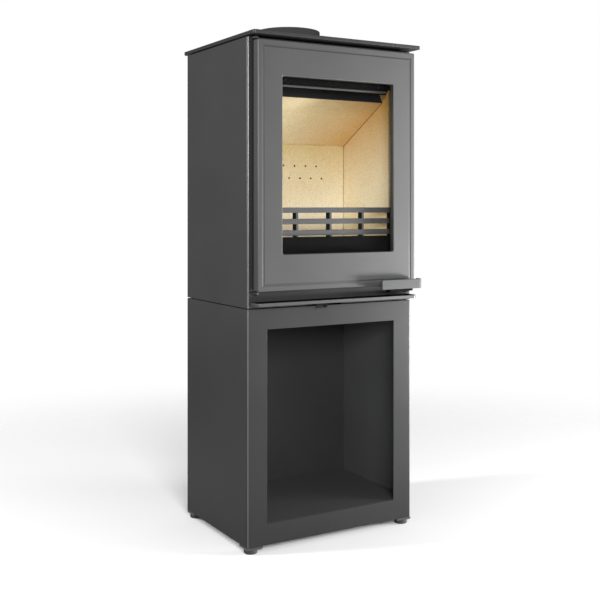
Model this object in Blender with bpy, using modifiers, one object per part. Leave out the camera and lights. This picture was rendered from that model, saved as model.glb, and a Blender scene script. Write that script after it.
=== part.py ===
"""Wood burning stove on a log-store base: a tall steel cabinet with a glazed cast door above.

Metres, +Z up, front towards -Y, left and right as seen from the front.  The origin is the
centre of the stove's box on the floor.  Depths are given behind the front sheet of the
cabinet, through at_depth().
"""

import math

import bmesh
import bpy
from mathutils import Matrix, Vector

MM = 0.001

# ---------------------------------------------------------------- driving dimensions (m)
BODY_WIDTH = 420 * MM
BODY_DEPTH = 305 * MM
SHEET = 2.5 * MM            # folded cabinet sheet
FOLD_RADIUS = 4 * MM        # outside radius of the front folds
GAP = 0.3 * MM              # between pieces that touch

FOOT_TOP = 15 * MM          # underside of the lower cabinet
SPLIT_LOW = 511 * MM        # top of the lower cabinet
SPLIT_HIGH = 513 * MM       # underside of the upper cabinet
CASING_TOP = 1078 * MM
PLATE_LOW = 1080 * MM
PLATE_HIGH = 1088 * MM
PLATE_SIDE = 3 * MM         # how far the top plate stands past each side
PLATE_FRONT = 35 * MM
PLATE_REAR = 15 * MM
COLLAR_RADIUS = 75 * MM     # for a 150 mm flue pipe
COLLAR_DEPTH = 198 * MM     # its axis, behind the front sheet
COLLAR_TOP = 1135 * MM

LOG_HALF_WIDTH = 163 * MM
LOG_LOW = 60 * MM
LOG_HIGH = 467 * MM
LOG_BACK = 276.5 * MM

LIP_LOW = 518.5 * MM
LIP_HIGH = 526 * MM
LIP_REACH = 33 * MM
LIP_HALF_WIDTH = 203.5 * MM
LIP_CORNER = 8 * MM

DOOR_HALF_WIDTH = 200 * MM
DOOR_LOW = 549 * MM
DOOR_HIGH = 1071 * MM
DOOR_FACE = 28.5 * MM       # front of the door, ahead of the front sheet
DOOR_REAR = 8.5 * MM
DOOR_PLATE = 12 * MM        # thickness of the door's face
WINDOW_HALF_WIDTH = 141.7 * MM
WINDOW_LOW = 625.4 * MM
WINDOW_HIGH = 997 * MM
HINGE_X = -196.4 * MM
HINGE_REACH = 12 * MM
HINGE_PIN = 2.5 * MM        # radius
GROOVE_INSET = 10 * MM      # the groove that runs round the door's face
GROOVE_WIDTH = 6 * MM
GROOVE_DEPTH = 0.5 * MM

GRIP_FACE = 58 * MM         # front of the handle, ahead of the front sheet
GRIP_LEFT = 91 * MM
GRIP_RIGHT = 201 * MM
GRIP_LOW = 543.2 * MM
GRIP_HIGH = 564.2 * MM
PIVOT_X = 180 * MM
PIVOT_REACH = 18 * MM

CHAMBER_HALF_WIDTH = 170 * MM
LINING = 25 * MM
CHAMBER_FRONT = 31 * MM     # front ends of the side linings
CHAMBER_BACK = 218.8 * MM   # face of the rear lining
LINING_TOP = 992 * MM       # of the side linings, at their front ends
HEARTH = 585 * MM
BAFFLE_REAR_Z = 873.5 * MM  # underside of the baffle where it meets the rear lining
BAFFLE_SLOPE = 0.559        # its rise for each unit of depth towards the front
BAFFLE_FRONT = 56 * MM
BAFFLE_THICK = 25 * MM

# The box of the whole stove is centred on the origin, from the handle's face to the
# rear edge of the top plate.
TOTAL_DEPTH = GRIP_FACE + BODY_DEPTH + PLATE_REAR
FRONT_Y = GRIP_FACE - TOTAL_DEPTH / 2
HALF = BODY_WIDTH / 2


def at_depth(depth):
    """World Y of a point that far behind the front sheet; ahead of it is negative."""
    return FRONT_Y + depth


def baffle_underside(depth):
    return BAFFLE_REAR_Z + BAFFLE_SLOPE * (CHAMBER_BACK - depth)


# ---------------------------------------------------------------- scene, collections, materials
for old in list(bpy.data.objects):
    bpy.data.objects.remove(old, do_unlink=True)

parts = bpy.data.collections.new("wood_burning_stove")
cutters = bpy.data.collections.new("cutters")
for new_collection in (parts, cutters):
    bpy.context.scene.collection.children.link(new_collection)

COLOURS = {
    # name: (base colour, roughness, metallic)
    "stove_paint": ((0.075, 0.076, 0.078, 1), 0.62, 0.25),
    "inner_steel": ((0.025, 0.025, 0.026, 1), 0.70, 0.30),
    "cast_iron": ((0.090, 0.092, 0.098, 1), 0.60, 0.40),
    "vermiculite": ((0.800, 0.660, 0.430, 1), 0.95, 0.00),
    "ceramic_glass": ((0.900, 0.930, 0.930, 1), 0.03, 0.00),
    "seal_rope": ((0.120, 0.118, 0.115, 1), 0.95, 0.00),
    "galvanised": ((0.450, 0.450, 0.460, 1), 0.45, 0.90),
    "handle_paint": ((0.160, 0.162, 0.166, 1), 0.50, 0.30),
    "black_steel": ((0.030, 0.030, 0.032, 1), 0.45, 0.60),
}


def make_material(object_name, finish):
    colour, roughness, metallic = COLOURS[finish]
    material = bpy.data.materials.new(object_name + "_" + finish)
    material.use_nodes = True
    shader = material.node_tree.nodes["Principled BSDF"]
    shader.inputs["Base Color"].default_value = colour
    shader.inputs["Roughness"].default_value = roughness
    shader.inputs["Metallic"].default_value = metallic
    if finish == "ceramic_glass":
        shader.inputs["Transmission Weight"].default_value = 0.95
    return material


# ---------------------------------------------------------------- modelling helpers
def add_object(name, mesh, finish=None):
    """A part with its own material, or a cutter when no finish is given."""
    obj = bpy.data.objects.new(name, mesh)
    if finish is None:
        cutters.objects.link(obj)
        obj.display_type = "WIRE"
        obj.hide_render = True
    else:
        parts.objects.link(obj)
        obj.data.materials.append(make_material(name, finish))
    return obj


def mesh_from(bm, name):
    bmesh.ops.recalc_face_normals(bm, faces=bm.faces)
    mesh = bpy.data.meshes.new(name)
    bm.to_mesh(mesh)
    bm.free()
    return mesh


def box(name, x, depth, z, finish=None):
    """A block between two values of x, of depth behind the front sheet, and of z."""
    low = Vector((x[0], at_depth(depth[0]), z[0]))
    high = Vector((x[1], at_depth(depth[1]), z[1]))
    bm = bmesh.new()
    bmesh.ops.create_cube(bm, size=1.0)
    bmesh.ops.scale(bm, vec=high - low, verts=bm.verts)
    bmesh.ops.translate(bm, vec=(low + high) / 2, verts=bm.verts)
    return add_object(name, mesh_from(bm, name), finish)


def cylinder(name, x, depth, z, radius, finish=None, sides=24):
    """An upright round bar, on an axis at x and depth, between two values of z."""
    bm = bmesh.new()
    bmesh.ops.create_cone(
        bm, cap_ends=True, segments=sides, radius1=radius, radius2=radius, depth=z[1] - z[0]
    )
    bmesh.ops.translate(bm, vec=(x, at_depth(depth), (z[0] + z[1]) / 2), verts=bm.verts)
    obj = add_object(name, mesh_from(bm, name), finish)
    shade_round(obj)
    return obj


def bar_along_y(name, x, depth, z, radius, finish=None, sides=12):
    """A round bar lying front to back, between two depths."""
    bm = bmesh.new()
    turn = Matrix.Rotation(math.pi / 2, 3, "X")
    bmesh.ops.create_cone(
        bm, cap_ends=True, segments=sides, radius1=radius, radius2=radius,
        depth=depth[1] - depth[0],
    )
    bmesh.ops.rotate(bm, cent=(0, 0, 0), matrix=turn, verts=bm.verts)
    bmesh.ops.translate(bm, vec=(x, at_depth(sum(depth) / 2), z), verts=bm.verts)
    obj = add_object(name, mesh_from(bm, name), finish)
    shade_round(obj)
    return obj


def shade_round(obj):
    obj.data.shade_smooth()
    obj.data.set_sharp_from_angle(angle=math.radians(35))


def arc(centre, radius, start, end, steps):
    """Points on a circle from one angle to another, in degrees, both ends included."""
    points = []
    for step in range(steps + 1):
        angle = math.radians(start + (end - start) * step / steps)
        points.append((centre[0] + radius * math.cos(angle), centre[1] + radius * math.sin(angle)))
    return points


def rounded_rectangle(half_width, low, high, radius, steps=4):
    left, right = -half_width + radius, half_width - radius
    bottom, top = low + radius, high - radius
    return (
        arc((right, bottom), radius, -90, 0, steps)
        + arc((right, top), radius, 0, 90, steps)
        + arc((left, top), radius, 90, 180, steps)
        + arc((left, bottom), radius, 180, 270, steps)
    )


def flat_plate(name, outline, span, upright, finish=None):
    """A flat outline given thickness.

    upright plates take (x, z) points and a span of depths; level plates take
    (x, depth) points and a span of heights.
    """
    curve = bpy.data.curves.new(name + "_outline", "CURVE")
    curve.dimensions = "2D"
    curve.fill_mode = "BOTH"
    curve.extrude = (span[1] - span[0]) / 2
    spline = curve.splines.new("POLY")
    spline.points.add(len(outline) - 1)
    spline.use_cyclic_u = True
    for point, (across, along) in zip(spline.points, outline):
        point.co = (across, along, 0, 1)
    guide = bpy.data.objects.new(name + "_guide", curve)
    bpy.context.scene.collection.objects.link(guide)
    middle = (span[0] + span[1]) / 2
    if upright:
        guide.matrix_world = Matrix.Translation((0, at_depth(middle), 0)) @ Matrix.Rotation(
            math.pi / 2, 4, "X"
        )
    else:
        guide.matrix_world = Matrix.Translation((0, at_depth(0), middle))
    bpy.context.view_layer.update()
    graph = bpy.context.evaluated_depsgraph_get()
    mesh = bpy.data.meshes.new_from_object(guide.evaluated_get(graph))
    mesh.transform(guide.matrix_world)
    bpy.data.objects.remove(guide, do_unlink=True)
    bm = bmesh.new()
    bm.from_mesh(mesh)
    bmesh.ops.remove_doubles(bm, verts=bm.verts, dist=0.00001)
    bpy.data.meshes.remove(mesh)
    return add_object(name, mesh_from(bm, name), finish)


def boolean(obj, operation, others):
    for other in others:
        modifier = obj.modifiers.new(operation.lower() + "_" + other.name, "BOOLEAN")
        modifier.operation = operation
        modifier.object = other
        modifier.solver = "EXACT"
    return obj


def cut(obj, *others):
    return boolean(obj, "DIFFERENCE", others)


def join(obj, *others):
    return boolean(obj, "UNION", others)


def folded_sheet(name, path, z, thickness, finish):
    """A sheet folded along an open path of (x, depth) points and standing upright.

    The path runs along the sheet's outer face, seen from above, clockwise.
    """
    bm = bmesh.new()
    corners = [bm.verts.new((x, at_depth(depth), z[0])) for x, depth in path]
    edges = [bm.edges.new(pair) for pair in zip(corners, corners[1:])]
    raised = bmesh.ops.extrude_edge_only(bm, edges=edges)["geom"]
    top = [item for item in raised if isinstance(item, bmesh.types.BMVert)]
    bmesh.ops.translate(bm, vec=(0, 0, z[1] - z[0]), verts=top)
    for face in bm.faces:
        outward = face.calc_center_median() - Vector((0, at_depth(BODY_DEPTH / 2), 0))
        outward.z = 0
        if face.normal.dot(outward) < 0:
            face.normal_flip()
    mesh = bpy.data.meshes.new(name)
    bm.to_mesh(mesh)
    bm.free()
    obj = add_object(name, mesh, finish)
    solidify = obj.modifiers.new("sheet", "SOLIDIFY")
    solidify.thickness = thickness
    solidify.offset = -1
    solidify.use_even_offset = True
    return obj


def turned(name, profile, x, depth, finish, sides=48):
    """A profile of (radius, z) points turned about an upright axis, closed on itself."""
    bm = bmesh.new()
    verts = [bm.verts.new((radius, 0, z)) for radius, z in profile]
    for first, second in zip(verts, verts[1:] + verts[:1]):
        bm.edges.new((first, second))
    mesh = bpy.data.meshes.new(name)
    bm.to_mesh(mesh)
    bm.free()
    obj = add_object(name, mesh, finish)
    obj.location = (x, at_depth(depth), 0)
    screw = obj.modifiers.new("turn", "SCREW")
    screw.steps = sides
    screw.render_steps = sides
    screw.use_merge_vertices = True
    screw.merge_threshold = 0.00001
    screw.use_smooth_shade = True
    return obj


def mirrored_pair(maker, name, x, *rest):
    """The same block on the left and on the right."""
    left = maker(name + "_left", (-x[1], -x[0]), *rest)
    right = maker(name + "_right", x, *rest)
    return left, right


# ---------------------------------------------------------------- lower cabinet and feet
def cabinet_path():
    """Outer face of a cabinet wrap: rear return, side, front and the same again."""
    rear_return = 17 * MM
    inset = HALF - FOLD_RADIUS
    path = [(-HALF + rear_return, BODY_DEPTH), (-HALF, BODY_DEPTH)]
    path += arc((-inset, FOLD_RADIUS), FOLD_RADIUS, 180, 270, 5)
    path += arc((inset, FOLD_RADIUS), FOLD_RADIUS, 270, 360, 5)
    path += [(HALF, BODY_DEPTH), (HALF - rear_return, BODY_DEPTH)]
    return path


INSIDE = HALF - SHEET - GAP         # half width inside the folded sheet
FRONT_INSIDE = SHEET + 0.7 * MM     # clear of the inside of the front folds
REAR_INSIDE = BODY_DEPTH - SHEET - GAP


def make_lower_cabinet():
    casing = folded_sheet(
        "lower_casing", cabinet_path(), (FOOT_TOP, SPLIT_LOW), SHEET, "stove_paint"
    )
    opening = box(
        "log_opening", (-LOG_HALF_WIDTH, LOG_HALF_WIDTH), (-5 * MM, 10 * MM), (LOG_LOW, LOG_HIGH)
    )
    cut(casing, opening)
    box(
        "log_store_floor", (-INSIDE, INSIDE), (FRONT_INSIDE, LOG_BACK - GAP),
        (LOG_LOW - SHEET, LOG_LOW), "stove_paint",
    )
    box(
        "lower_back_panel", (-INSIDE, INSIDE), (LOG_BACK, LOG_BACK + SHEET),
        (FOOT_TOP + 5 * MM, 508 * MM), "stove_paint",
    )
    box(
        "lower_cabinet_deck", (-INSIDE, INSIDE), (FRONT_INSIDE, REAR_INSIDE),
        (508.3 * MM, SPLIT_LOW - GAP), "stove_paint",
    )


def make_feet():
    plate = 37 * MM
    pad_radius = 14.5 * MM
    pad_inset = 16 * MM
    for side, sign in (("left", -1), ("right", 1)):
        for end, near, pad_depth in (
            ("front", 0.0, pad_inset),
            ("rear", BODY_DEPTH - plate, BODY_DEPTH - pad_inset),
        ):
            edges = sorted((sign * HALF, sign * (HALF - plate)))
            box(
                f"corner_plate_{end}_{side}", edges, (near, near + plate),
                (10 * MM, FOOT_TOP - GAP), "stove_paint",
            )
            chamfer = 1.5 * MM
            turned(
                f"foot_pad_{end}_{side}",
                [
                    (3 * MM, 10 * MM - GAP),
                    (pad_radius - chamfer, 10 * MM - GAP),
                    (pad_radius, 10 * MM - GAP - chamfer),
                    (pad_radius, chamfer),
                    (pad_radius - chamfer, 0),
                    (3 * MM, 0),
                ],
                sign * (HALF - pad_inset), pad_depth, "black_steel", sides=24,
            )


# ---------------------------------------------------------------- upper cabinet
NECK_HALF_WIDTH = 192 * MM
NECK_LOW = 557 * MM
NECK_HIGH = 1063 * MM
MOUTH_LOW = 600 * MM
MOUTH_HIGH = 1012 * MM
PORT_WIDTH = 26 * MM
SLIDE_TRAVEL = 40 * MM      # from closed to fully open


def air_ports(name, shift, depth, z):
    """Cutters for the three air ports, moved sideways by shift."""
    return [
        box(f"{name}_{number}", (x + shift, x + shift + PORT_WIDTH), depth, z)
        for number, x in enumerate((-90 * MM, -13 * MM, 64 * MM))
    ]


def make_upper_cabinet():
    casing = folded_sheet(
        "upper_casing", cabinet_path(), (SPLIT_HIGH, CASING_TOP), SHEET, "stove_paint"
    )
    clear = 1 * MM
    through = (-5 * MM, 10 * MM)
    mouth = box(
        "casing_mouth", (-NECK_HALF_WIDTH - clear, NECK_HALF_WIDTH + clear), through,
        (NECK_LOW - clear, NECK_HIGH + clear),
    )
    latch_slot = box("latch_slot", (149 * MM, 195 * MM), through, (535 * MM, 545.5 * MM))
    slide_notch = box("slide_notch", (-58 * MM, 22 * MM), through, (510 * MM, 517.2 * MM))
    cut(casing, mouth, latch_slot, slide_notch)
    base = box(
        "upper_base_plate", (-INSIDE, INSIDE), (FRONT_INSIDE, REAR_INSIDE),
        (516.4 * MM, 518.9 * MM), "inner_steel",
    )
    cut(base, *air_ports("base_port", 0, (20 * MM, 48 * MM), (505 * MM, 530 * MM)))
    shield = box(
        "rear_heat_shield", (-200 * MM, 200 * MM), (BODY_DEPTH + GAP, BODY_DEPTH + 2.3 * MM),
        (520 * MM, 1070 * MM), "stove_paint",
    )
    vents = []
    for row, low in enumerate((556 * MM, 1010 * MM)):
        for column in range(6):
            x = (-150 + 52 * column) * MM
            vents.append(
                box(
                    f"vent_{row}_{column}", (x, x + 40 * MM),
                    (BODY_DEPTH - 1 * MM, BODY_DEPTH + 4 * MM), (low, low + 8 * MM),
                )
            )
    cut(shield, *vents)
    mirrored_pair(
        box, "top_rail", (INSIDE - 6 * MM, INSIDE), (20 * MM, BODY_DEPTH - 20 * MM),
        (1050 * MM, PLATE_LOW - GAP), "inner_steel",
    )


def make_top():
    edge = HALF + PLATE_SIDE
    corner = 6 * MM
    low, high = -PLATE_FRONT, BODY_DEPTH + PLATE_REAR
    outline = rounded_rectangle(edge, low, high, corner)
    plate = flat_plate("top_plate", outline, (PLATE_LOW, PLATE_HIGH), False, "stove_paint")
    cut(
        plate,
        cylinder(
            "flue_hole", 0, COLLAR_DEPTH, (PLATE_LOW - 0.02, PLATE_HIGH + 0.02),
            COLLAR_RADIUS + 1 * MM, sides=48,
        ),
    )
    bore = COLLAR_RADIUS - 4 * MM
    flange = COLLAR_RADIUS + 14 * MM
    flange_low = 1074.3 * MM
    flange_high = PLATE_LOW - GAP
    chamfer = 1 * MM
    turned(
        "flue_collar",
        [
            (bore, COLLAR_TOP),
            (COLLAR_RADIUS - chamfer, COLLAR_TOP),
            (COLLAR_RADIUS, COLLAR_TOP - chamfer),
            (COLLAR_RADIUS, flange_high),
            (flange, flange_high),
            (flange, flange_low),
            (bore, flange_low),
        ],
        0, COLLAR_DEPTH, "cast_iron", sides=64,
    )


def make_ash_lip():
    corner = (LIP_HALF_WIDTH - LIP_CORNER, LIP_CORNER - LIP_REACH)
    outline = [(-LIP_HALF_WIDTH, -GAP)]
    outline += arc((-corner[0], corner[1]), LIP_CORNER, 180, 270, 5)
    outline += arc(corner, LIP_CORNER, 270, 360, 5)
    outline += [(LIP_HALF_WIDTH, -GAP)]
    flat_plate("ash_lip", outline, (LIP_LOW, LIP_HIGH), False, "stove_paint")


# ---------------------------------------------------------------- firebox
WALL_IN = CHAMBER_HALF_WIDTH + LINING + 0.7 * MM
WALL_OUT = WALL_IN + 4 * MM
FIREBOX_FLOOR = 560 * MM
FIREBOX_ROOF = 1070 * MM
FIREBOX_BACK = 276 * MM


def make_firebox_shell():
    front = box(
        "firebox_front_plate", (-WALL_OUT, WALL_OUT), (4 * MM, 8 * MM),
        (556 * MM, 1074 * MM), "inner_steel",
    )
    mouth = box(
        "firebox_mouth", (-CHAMBER_HALF_WIDTH, CHAMBER_HALF_WIDTH), (0, 12 * MM),
        (MOUTH_LOW, MOUTH_HIGH),
    )
    cut(front, mouth)
    floor = box(
        "firebox_floor", (-WALL_OUT, WALL_OUT), (8.3 * MM, FIREBOX_BACK + 4 * MM),
        (556 * MM, FIREBOX_FLOOR), "inner_steel",
    )
    ash_hole = box("ash_hole", (-100 * MM, 100 * MM), (60 * MM, 200 * MM), (540 * MM, 580 * MM))
    cut(floor, ash_hole)
    walls = (FIREBOX_FLOOR + GAP, FIREBOX_ROOF - GAP)
    mirrored_pair(
        box, "firebox_side", (WALL_IN, WALL_OUT), (8.3 * MM, FIREBOX_BACK - GAP), walls,
        "inner_steel",
    )
    box(
        "firebox_back", (-WALL_OUT, WALL_OUT), (FIREBOX_BACK, FIREBOX_BACK + 4 * MM), walls,
        "inner_steel",
    )
    roof = box(
        "firebox_roof", (-WALL_OUT, WALL_OUT), (8.3 * MM, FIREBOX_BACK + 4 * MM),
        (FIREBOX_ROOF, 1074 * MM), "inner_steel",
    )
    flue_way = cylinder(
        "flue_way", 0, COLLAR_DEPTH, (1060 * MM, 1090 * MM), COLLAR_RADIUS - 5 * MM, sides=48
    )
    cut(roof, flue_way)


def make_door_neck():
    """The frame that stands out through the casing, for the door's rope to close on."""
    neck = box(
        "door_neck", (-NECK_HALF_WIDTH, NECK_HALF_WIDTH), (-5 * MM, 3.7 * MM),
        (NECK_LOW, NECK_HIGH), "inner_steel",
    )
    mouth = box(
        "neck_mouth", (-CHAMBER_HALF_WIDTH, CHAMBER_HALF_WIDTH), (-10 * MM, 10 * MM),
        (MOUTH_LOW, MOUTH_HIGH),
    )
    cut(neck, mouth)


def make_mouth_fittings():
    inside = CHAMBER_HALF_WIDTH - GAP
    sill_top = 660 * MM
    sill = box(
        "sill_plate", (-inside, inside), (-1 * MM, 2 * MM), (MOUTH_LOW + GAP, sill_top),
        "black_steel",
    )
    ledge = box(
        "sill_ledge", (-inside, inside), (1 * MM, 30 * MM),
        (MOUTH_LOW + GAP, MOUTH_LOW + 3 * MM + GAP),
    )
    join(sill, ledge)
    bar = box(
        "airwash_deflector", (-140 * MM, 140 * MM), (-5 * MM, 2 * MM), (978.7 * MM, 983.2 * MM),
        "inner_steel",
    )
    upright = box(
        "airwash_upright", (-140 * MM, 140 * MM), (0, 2 * MM), (980 * MM, MOUTH_HIGH - GAP)
    )
    join(bar, upright)


def make_log_fence():
    """A cast grid in front of the fire: level bars between upright ribs."""
    rib = 5.5 * MM
    bar = 11.5 * MM
    pitch = 24.5 * MM
    top = 723 * MM
    rib_pitch = 84.8 * MM
    span = (9 * MM, 25 * MM)
    half = 2 * rib_pitch - rib / 2
    low = top - 4 * pitch - bar
    fence = box("log_fence", (-half, half), span, (low, top), "cast_iron")
    openings = []
    for column in range(4):
        left = (column - 2) * rib_pitch + rib / 2
        right = left + rib_pitch - rib
        left = max(left, -half + rib)
        right = min(right, half - rib)
        for row in range(4):
            high = top - bar - row * pitch
            openings.append(
                box(
                    f"fence_gap_{column}_{row}", (left, right), (0, 40 * MM),
                    (high - (pitch - bar), high),
                )
            )
    cut(fence, *openings)


def make_side_lining(name, x):
    """A side board: its top carries the baffle and rises ahead of it as a stop."""
    low = FIREBOX_FLOOR + GAP
    rear = CHAMBER_BACK - GAP
    seat = BAFFLE_FRONT - GAP
    profile = [
        (CHAMBER_FRONT, low),
        (rear, low),
        (rear, baffle_underside(rear) - GAP),
        (seat, baffle_underside(seat) - GAP),
        (CHAMBER_FRONT, LINING_TOP),
    ]
    return side_profile(name, x, profile, "vermiculite")


def side_profile(name, x, profile, finish):
    """A profile of (depth, z) points carried across between two values of x."""
    bm = bmesh.new()
    loop = [bm.verts.new((x[0], at_depth(depth), z)) for depth, z in profile]
    face = bm.faces.new(loop)
    carried = bmesh.ops.extrude_face_region(bm, geom=[face])["geom"]
    moved = [item for item in carried if isinstance(item, bmesh.types.BMVert)]
    bmesh.ops.translate(bm, vec=(x[1] - x[0], 0, 0), verts=moved)
    return add_object(name, mesh_from(bm, name), finish)


def make_lining():
    lining_out = CHAMBER_HALF_WIDTH + LINING
    rear = (CHAMBER_BACK, CHAMBER_BACK + 29.7 * MM)
    make_side_lining("lining_left", (-lining_out, -CHAMBER_HALF_WIDTH))
    make_side_lining("lining_right", (CHAMBER_HALF_WIDTH, lining_out))
    back = box(
        "lining_back", (-lining_out, lining_out), rear, (FIREBOX_FLOOR + GAP, 905 * MM),
        "vermiculite",
    )
    holes = []
    pitch = 30.2 * MM
    for row, (z, shift) in enumerate(((822.5 * MM, 0.0), (793 * MM, pitch / 2))):
        for column in range(-4, 4):
            holes.append(
                bar_along_y(
                    f"air_hole_{row}_{column + 4}", column * pitch + shift,
                    (200 * MM, 270 * MM), z, 2.5 * MM, sides=8,
                )
            )
    cut(back, *holes)

    half = CHAMBER_HALF_WIDTH - GAP
    brick = (FIREBOX_FLOOR + GAP, HEARTH)
    slabs = mirrored_pair(
        box, "hearth_slab", (GAP / 2, half), (CHAMBER_FRONT, CHAMBER_BACK - GAP), brick,
        "vermiculite",
    )
    grate_seat = box(
        "grate_seat", (-110.5 * MM, 110.5 * MM), (49.5 * MM, 210.5 * MM), (540 * MM, 600 * MM)
    )
    for slab in slabs:
        cut(slab, grate_seat)


def make_baffle():
    """The sloped board over the fire, and the steel angle hooked over its front edge."""
    tilt = math.atan(BAFFLE_SLOPE)
    rise = BAFFLE_THICK / math.cos(tilt)
    front_z = baffle_underside(BAFFLE_FRONT)
    rear_depth = CHAMBER_BACK - GAP
    rear_z = baffle_underside(rear_depth)

    def from_edge(ahead, up):
        """A point ahead of the front edge along the board, and up through its thickness."""
        return (
            BAFFLE_FRONT - ahead * math.cos(tilt) + up * math.sin(tilt),
            front_z + ahead * math.sin(tilt) + up * math.cos(tilt),
        )

    board = [
        (BAFFLE_FRONT, front_z),
        (rear_depth, rear_z),
        (rear_depth, rear_z + rise),
        from_edge(0, BAFFLE_THICK),
    ]
    board_half = CHAMBER_HALF_WIDTH + LINING
    side_profile("baffle", (-board_half, board_half), board, "vermiculite")

    steel = 2 * MM
    lap = 15 * MM
    inside = BAFFLE_THICK + GAP
    rail = [
        from_edge(GAP, 0),
        from_edge(GAP + steel, 0),
        from_edge(GAP + steel, inside + steel),
        from_edge(-lap, inside + steel),
        from_edge(-lap, inside),
        from_edge(GAP, inside),
    ]
    rail_half = CHAMBER_HALF_WIDTH - GAP
    side_profile("baffle_front_rail", (-rail_half, rail_half), rail, "inner_steel")


def make_ash_gear():
    grate = box(
        "grate", (-110 * MM, 110 * MM), (50 * MM, 210 * MM),
        (FIREBOX_FLOOR + GAP, FIREBOX_FLOOR + 14 * MM), "cast_iron",
    )
    slots = []
    for row in range(2):
        for column in range(9):
            x = (-92 + 21 * column) * MM
            near = (66 + 68 * row) * MM
            slots.append(
                box(
                    f"grate_slot_{row}_{column}", (x, x + 12 * MM), (near, near + 58 * MM),
                    (550 * MM, 590 * MM),
                )
            )
    cut(grate, *slots)

    well = box("ash_well", (-113 * MM, 113 * MM), (48 * MM, 212 * MM), (521 * MM, 555.7 * MM),
               "inner_steel")
    well_inside = box(
        "ash_well_inside", (-111 * MM, 111 * MM), (50 * MM, 210 * MM), (523 * MM, 570 * MM)
    )
    well_ports = air_ports("well_port", 0, (40 * MM, 52 * MM), (540 * MM, 550 * MM))
    cut(well, well_inside, *well_ports)

    pan = box("ash_pan", (-106 * MM, 106 * MM), (55 * MM, 205 * MM), (523.3 * MM, 551 * MM),
              "galvanised")
    pan_inside = box(
        "ash_pan_inside", (-104.5 * MM, 104.5 * MM), (56.5 * MM, 203.5 * MM),
        (524.8 * MM, 560 * MM),
    )
    cut(pan, pan_inside)

    duct = box("rear_air_duct", (-130 * MM, 130 * MM), (249 * MM, FIREBOX_BACK - GAP),
               (FIREBOX_FLOOR + GAP, 880 * MM), "inner_steel")
    duct_inside = box(
        "duct_inside", (-128.5 * MM, 128.5 * MM), (240 * MM, 274 * MM), (550 * MM, 878.5 * MM)
    )
    cut(duct, duct_inside)


# ---------------------------------------------------------------- air control
def make_air_slide():
    """A valve plate under the base, with a neck and a tab that is bent down to the front."""
    plate_z = (513.9 * MM, 515.9 * MM)
    tab_x = (-52.4 * MM, -23.6 * MM)
    slide = box("air_slide", (-136 * MM, 97 * MM), (14 * MM, 54 * MM), plate_z, "black_steel")
    neck = box("slide_neck", tab_x, (-15 * MM, 20 * MM), plate_z)
    tab = box("slide_tab", tab_x, (-15 * MM, -13 * MM), (507.8 * MM, 515 * MM))
    join(slide, neck, tab)
    cut(slide, *air_ports("slide_port", -SLIDE_TRAVEL, (20 * MM, 48 * MM), (505 * MM, 530 * MM)))
    bar_along_y(
        "air_slide_knob", -27 * MM, (-18 * MM, -15 * MM - GAP), 511.2 * MM, 2 * MM, "black_steel"
    )


# ---------------------------------------------------------------- door
RIM = 8 * MM
PIN_CLEAR = 0.2 * MM


def ring_cutter(name, half_width, low, high, width, span, radius):
    """A picture-frame cutter: a rounded outline less a smaller one."""
    outer = flat_plate(name, rounded_rectangle(half_width, low, high, radius, 2), span, True)
    inner = flat_plate(
        name + "_core",
        rounded_rectangle(half_width - width, low + width, high - width, radius / 2, 2),
        (span[0] - 1 * MM, span[1] + 1 * MM), True,
    )
    return cut(outer, inner)


def make_door_frame():
    frame = box(
        "door_frame", (-DOOR_HALF_WIDTH, DOOR_HALF_WIDTH), (-DOOR_FACE, -DOOR_REAR),
        (DOOR_LOW, DOOR_HIGH), "stove_paint",
    )
    window = flat_plate(
        "window_hole", rounded_rectangle(WINDOW_HALF_WIDTH, WINDOW_LOW, WINDOW_HIGH, 5 * MM),
        (-40 * MM, 0), True,
    )
    pocket = box(
        "door_pocket", (-DOOR_HALF_WIDTH + RIM, DOOR_HALF_WIDTH - RIM),
        (DOOR_PLATE - DOOR_FACE, 0), (DOOR_LOW + RIM, DOOR_HIGH - RIM),
    )
    inset = GROOVE_INSET
    groove = ring_cutter(
        "door_groove", DOOR_HALF_WIDTH - inset, DOOR_LOW + inset, DOOR_HIGH - inset,
        GROOVE_WIDTH, (-DOOR_FACE - 2 * MM, -DOOR_FACE + GROOVE_DEPTH), 2 * MM,
    )
    pin_depth = 6.6 * MM
    pin_holes = [
        cylinder(
            "hinge_hole_low", HINGE_X, -HINGE_REACH, (DOOR_LOW - 0.01, DOOR_LOW + pin_depth),
            HINGE_PIN + PIN_CLEAR,
        ),
        cylinder(
            "hinge_hole_high", HINGE_X, -HINGE_REACH, (DOOR_HIGH - pin_depth, DOOR_HIGH + 0.01),
            HINGE_PIN + PIN_CLEAR,
        ),
        cylinder(
            "pivot_hole", PIVOT_X, -PIVOT_REACH, (DOOR_LOW - 0.01, DOOR_LOW + pin_depth),
            4 * MM + PIN_CLEAR,
        ),
    ]
    cut(frame, window, pocket, groove, *pin_holes)


def picture_frame(name, half_width, low, high, width, span, finish):
    frame = box(name, (-half_width, half_width), span, (low, high), finish)
    core = box(
        name + "_inside", (-half_width + width, half_width - width),
        (span[0] - 1 * MM, span[1] + 1 * MM), (low + width, high - width),
    )
    return cut(frame, core)


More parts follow.
